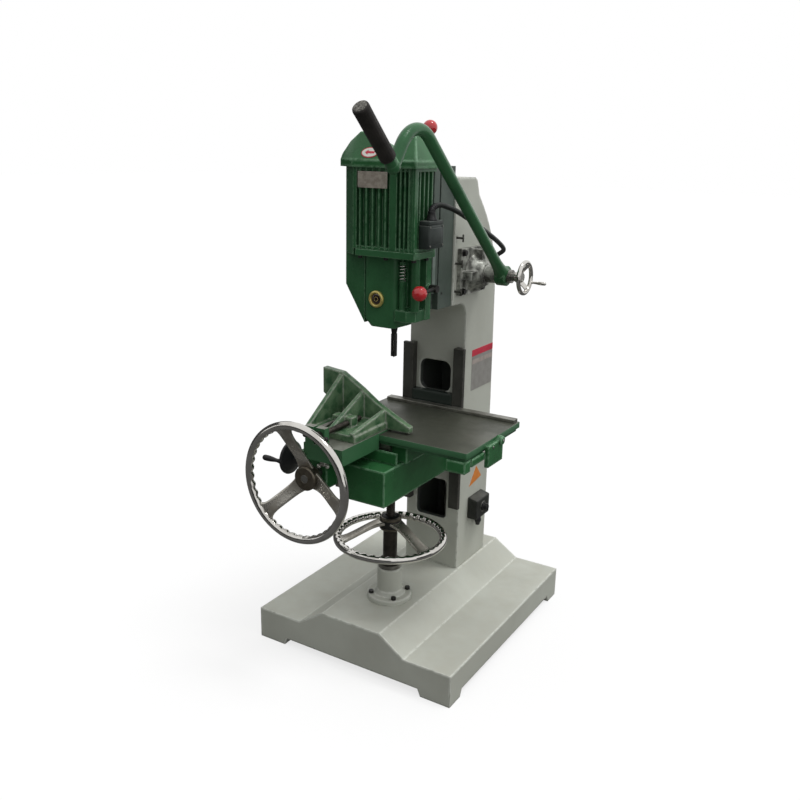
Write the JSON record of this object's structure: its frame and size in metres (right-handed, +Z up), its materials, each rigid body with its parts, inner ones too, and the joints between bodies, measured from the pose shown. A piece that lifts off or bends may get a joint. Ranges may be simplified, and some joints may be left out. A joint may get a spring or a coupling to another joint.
{
  "type": "hollow chisel mortiser",
  "caption": "Floor-standing column mortiser in green and grey with a finned motor head, hollow square chisel, feed lever, knee table, clamp jaw and two chrome handwheels.",
  "frame": {"origin": "the middle of the base casting at floor level", "axes": "+X to the operator's right, +Y to the back (towards the column), +Z up"},
  "size_m": [0.6603, 1.0157, 1.5477],
  "materials": {
    "grey_paint": "semi-gloss machine enamel, light grey",
    "green_paint": "gloss machine enamel, dark green",
    "dark_iron": "oiled dark iron",
    "cast_iron": "ground cast iron, lightly oiled",
    "steel": "turned and ground steel",
    "chrome": "polished chrome plate",
    "brass": "polished brass ring",
    "black_plastic": "moulded black plastic",
    "red_plastic": "moulded red plastic",
    "label_white": "printed film, left bare of words",
    "plate_metal": "bare aluminium plate",
    "rubber_grip": "ribbed black rubber",
    "lead_rubber": "rubber cable sheath"
  },
  "bodies": {
    "frame": {"base_casting": "grey_paint", "column_casting": "grey_paint", "rear_cover": "grey_paint", "way_rails": "dark_iron", "pedestal": "grey_paint", "thrust_bearing": "steel", "pinion_bracket": "steel", "frame_bolts": "dark_iron", "head_gib": "steel", "gib_screws": "dark_iron", "switch_box": "black_plastic", "cable_glands": "black_plastic", "label_plates": "label_white"},
    "switch": {"switch_knob": "black_plastic"},
    "lift_wheel": {"elevating_wheel": "chrome", "nut_sleeve": "steel"},
    "knee": {"knee_casting": "green_paint", "knee_keepers": "dark_iron", "elevating_screw": "steel", "cross_rack": "steel"},
    "saddle": {"saddle": "green_paint"},
    "cross_drive": {"cross_shaft": "steel", "cross_wheel": "black_plastic"},
    "cross_grip": {"cross_handle": "black_plastic"},
    "table_clamp": {"table_lock": "chrome"},
    "table": {"table_plate": "cast_iron", "table_rack": "steel", "table_brackets": "green_paint", "back_fence": "cast_iron", "clamp_bed": "green_paint", "clamp_guide": "steel"},
    "table_drive": {"table_wheel": "chrome", "table_pinion": "steel"},
    "jaw": {"clamp_jaw": "green_paint"},
    "jaw_screw": {"clamp_screw": "steel", "clamp_bar": "steel"},
    "head": {"head_slide": "cast_iron", "head_rack": "steel", "head_casting": "green_paint", "motor_housing": "green_paint", "stator": "steel", "fan_cowl": "green_paint", "flange_bolts": "dark_iron", "lower_housing": "green_paint", "oil_sight": "brass", "terminal_box": "dark_iron", "head_plates": "plate_metal", "spindle_bearings": "steel", "hollow_chisel": "dark_iron", "latch_spring": "steel", "motor_lead": "lead_rubber"},
    "spindle": {"rotor": "steel", "cooling_fan": "black_plastic", "auger_bit": "steel"},
    "mode": {"mode_lever": "red_plastic"},
    "slide_lever": {"slide_lock": "red_plastic"},
    "feed": {"feed_lever": "green_paint", "lever_grip": "rubber_grip", "feed_pinion": "steel"},
    "feed_wheel": {"lever_wheel": "chrome"}
  },
  "joints": [
    {"name": "switch_turn", "type": "hinge", "parent": "frame", "child": "switch", "pos_m": [0.1293, 0.198, 0.338], "axis": [1, 0, 0], "range_deg": [-45, 45]},
    {"name": "lift_turn", "type": "hinge", "parent": "frame", "child": "lift_wheel", "pos_m": [0.008, -0.175, 0.346], "axis": [0, 0, 1], "range_deg": [-5690, 2690]},
    {"name": "knee_slide", "type": "slide", "parent": "frame", "child": "knee", "axis": [0, 0, 1], "range_m": [-0.095, 0.045]},
    {"name": "saddle_slide", "type": "slide", "parent": "knee", "child": "saddle", "axis": [0, 1, 0], "range_m": [-0.036, 0]},
    {"name": "cross_turn", "type": "hinge", "parent": "saddle", "child": "cross_drive", "pos_m": [-0.25, -0.3, 0.576], "axis": [1, 0, 0], "range_deg": [-1, 116]},
    {"name": "cross_grip_spin", "type": "hinge", "parent": "cross_drive", "child": "cross_grip", "pos_m": [-0.262, -0.344, 0.576], "axis": [1, 0, 0], "continuous": true},
    {"name": "table_clamp_turn", "type": "hinge", "parent": "saddle", "child": "table_clamp", "pos_m": [-0.066, -0.4, 0.632], "axis": [0, 1, 0], "range_deg": [-45, 45]},
    {"name": "table_slide", "type": "slide", "parent": "saddle", "child": "table", "axis": [1, 0, 0], "range_m": [-0.12, 0.05]},
    {"name": "table_wheel_turn", "type": "hinge", "parent": "saddle", "child": "table_drive", "pos_m": [-0.086, -0.448, 0.6], "axis": [0, 1, 0], "range_deg": [-286, 119]},
    {"name": "jaw_slide", "type": "slide", "parent": "table", "child": "jaw", "axis": [0, 1, 0], "range_m": [-0.03, 0.03]},
    {"name": "jaw_screw_turn", "type": "hinge", "parent": "table", "child": "jaw_screw", "pos_m": [-0.04, -0.472, 0.73], "axis": [0, 1, 0], "range_deg": [-2161, 2161]},
    {"name": "head_slide_travel", "type": "slide", "parent": "frame", "child": "head", "axis": [0, 0, 1], "range_m": [-0.0815, 0.0255], "deforming": ["motor_lead"]},
    {"name": "feed_turn", "type": "hinge", "parent": "frame", "child": "feed", "pos_m": [0.2, 0.104, 1.105], "axis": [1, 0, 0], "range_deg": [-20, 64.5]},
    {"name": "spindle_spin", "type": "hinge", "parent": "head", "child": "spindle", "pos_m": [0, -0.16, 1.1], "axis": [0, 0, 1], "continuous": true},
    {"name": "mode_turn", "type": "hinge", "parent": "head", "child": "mode", "pos_m": [0.108, -0.131, 1.087], "axis": [1, 0, 0], "range_deg": [-28, 18]},
    {"name": "slide_lock_turn", "type": "hinge", "parent": "head", "child": "slide_lever", "pos_m": [0.034, -0.05, 1.421], "axis": [1, 0, 0], "range_deg": [-22, 22]},
    {"name": "feed_wheel_turn", "type": "hinge", "parent": "feed", "child": "feed_wheel", "pos_m": [0.268, 0.104, 1.105], "axis": [1, 0, 0], "continuous": true}
  ],
  "couplings": [
    {"joint": "knee_slide", "follows": "lift_turn", "m_per_rad": 0.00095493},
    {"joint": "cross_turn", "follows": "saddle_slide", "rad_per_m": -55.556},
    {"joint": "table_slide", "follows": "table_wheel_turn", "m_per_rad": 0.024},
    {"joint": "jaw_screw_turn", "follows": "jaw_slide", "rad_per_m": 1256.6},
    {"joint": "head_slide_travel", "follows": "feed_turn", "m_per_rad": -0.072}
  ]
}
